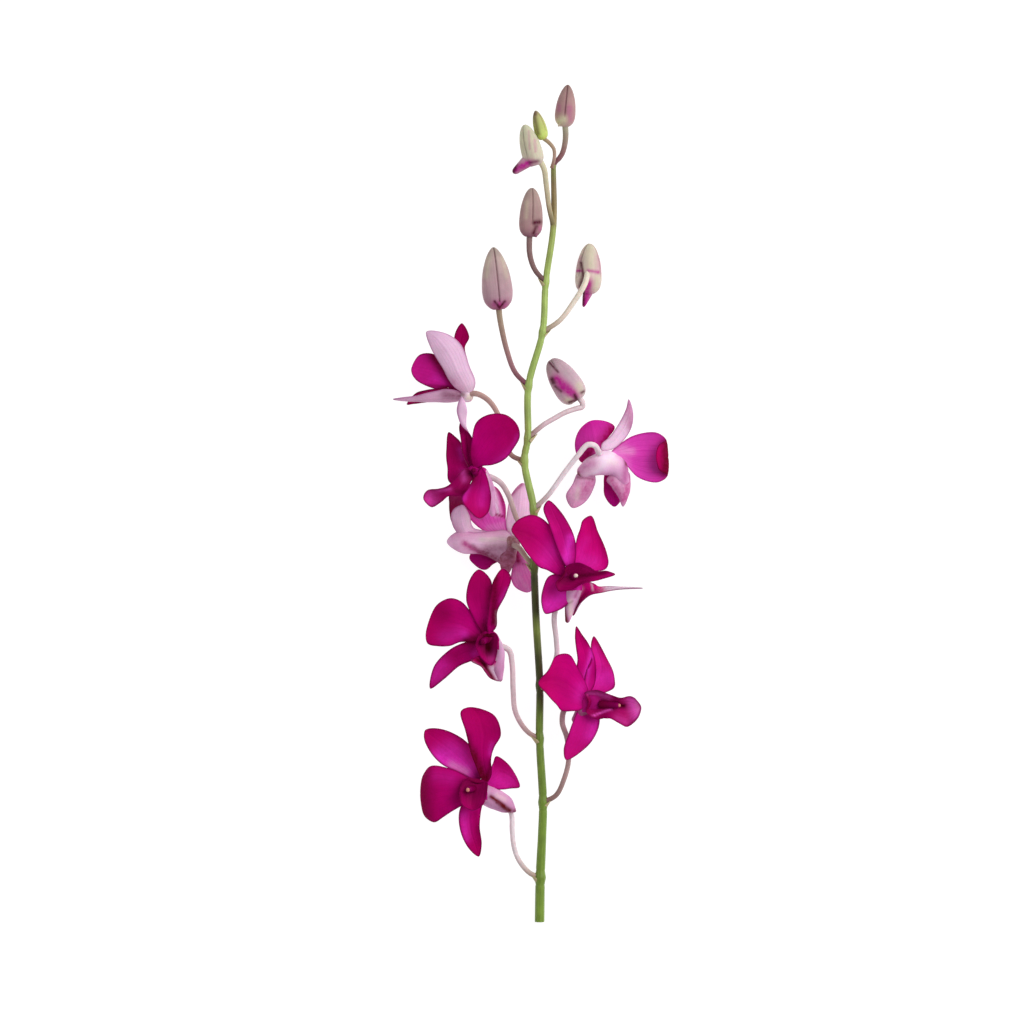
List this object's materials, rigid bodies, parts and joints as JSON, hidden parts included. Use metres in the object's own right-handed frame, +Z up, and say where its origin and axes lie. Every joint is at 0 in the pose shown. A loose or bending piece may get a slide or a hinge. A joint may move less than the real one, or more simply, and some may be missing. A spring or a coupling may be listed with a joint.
{
  "type": "dendrobium orchid stem",
  "caption": "Cut flower spray with open blooms of five rounded petals and a cupped lip low on a slender stem and pointed buds at its top, lying on its side.",
  "frame": {"origin": "on the surface the spray lies on, under the middle of its outline from above", "axes": "+Y along the stem from the cut end to the youngest bud, +Z up from the surface, +X to the right with the cut end nearest"},
  "size_m": [0.1217, 0.3687, 0.0413],
  "materials": {
    "green_stem": "satin, fresh green",
    "magenta_petal": "velvety, pale pink on the back",
    "dark_magenta_lip": "velvety",
    "rose_column": "waxy",
    "cream_anther_cap": "waxy",
    "pale_pink_stalk": "satin",
    "dusty_pink_bud": "satin",
    "green_bud": "satin",
    "brown_pink_stalk": "satin"
  },
  "bodies": {
    "root": {"rachis": "green_stem", "bloom_1_tepals": "magenta_petal", "bloom_1_lip": "dark_magenta_lip", "bloom_1_column": "rose_column", "bloom_1_anther_cap": "cream_anther_cap", "bloom_1_stalk": "pale_pink_stalk", "bloom_2_tepals": "magenta_petal", "bloom_2_lip": "dark_magenta_lip", "bloom_2_column": "rose_column", "bloom_2_anther_cap": "cream_anther_cap", "bloom_2_stalk": "pale_pink_stalk", "bloom_3_tepals": "magenta_petal", "bloom_3_lip": "dark_magenta_lip", "bloom_3_column": "rose_column", "bloom_3_anther_cap": "cream_anther_cap", "bloom_3_stalk": "pale_pink_stalk", "bloom_4_tepals": "magenta_petal", "bloom_4_lip": "dark_magenta_lip", "bloom_4_column": "rose_column", "bloom_4_anther_cap": "cream_anther_cap", "bloom_4_stalk": "pale_pink_stalk", "bloom_5_tepals": "magenta_petal", "bloom_5_lip": "dark_magenta_lip", "bloom_5_column": "rose_column", "bloom_5_anther_cap": "cream_anther_cap", "bloom_5_stalk": "pale_pink_stalk", "bloom_6_tepals": "magenta_petal", "bloom_6_lip": "dark_magenta_lip", "bloom_6_column": "rose_column", "bloom_6_anther_cap": "cream_anther_cap", "bloom_6_stalk": "pale_pink_stalk", "bloom_7_tepals": "magenta_petal", "bloom_7_lip": "dark_magenta_lip", "bloom_7_column": "rose_column", "bloom_7_anther_cap": "cream_anther_cap", "bloom_7_stalk": "pale_pink_stalk", "bloom_8_tepals": "magenta_petal", "bloom_8_lip": "dark_magenta_lip", "bloom_8_column": "rose_column", "bloom_8_anther_cap": "cream_anther_cap", "bloom_8_stalk": "pale_pink_stalk", "bud_1": "dusty_pink_bud", "bud_1_stalk": "brown_pink_stalk", "bud_2": "dusty_pink_bud", "bud_2_stalk": "brown_pink_stalk", "bud_3": "dusty_pink_bud", "bud_3_stalk": "brown_pink_stalk", "bud_4": "dusty_pink_bud", "bud_4_stalk": "brown_pink_stalk", "bud_5": "green_bud", "bud_5_stalk": "brown_pink_stalk", "bud_6": "green_bud", "bud_6_stalk": "brown_pink_stalk", "bud_7": "dusty_pink_bud", "bud_7_stalk": "brown_pink_stalk"}
  },
  "joints": []
}
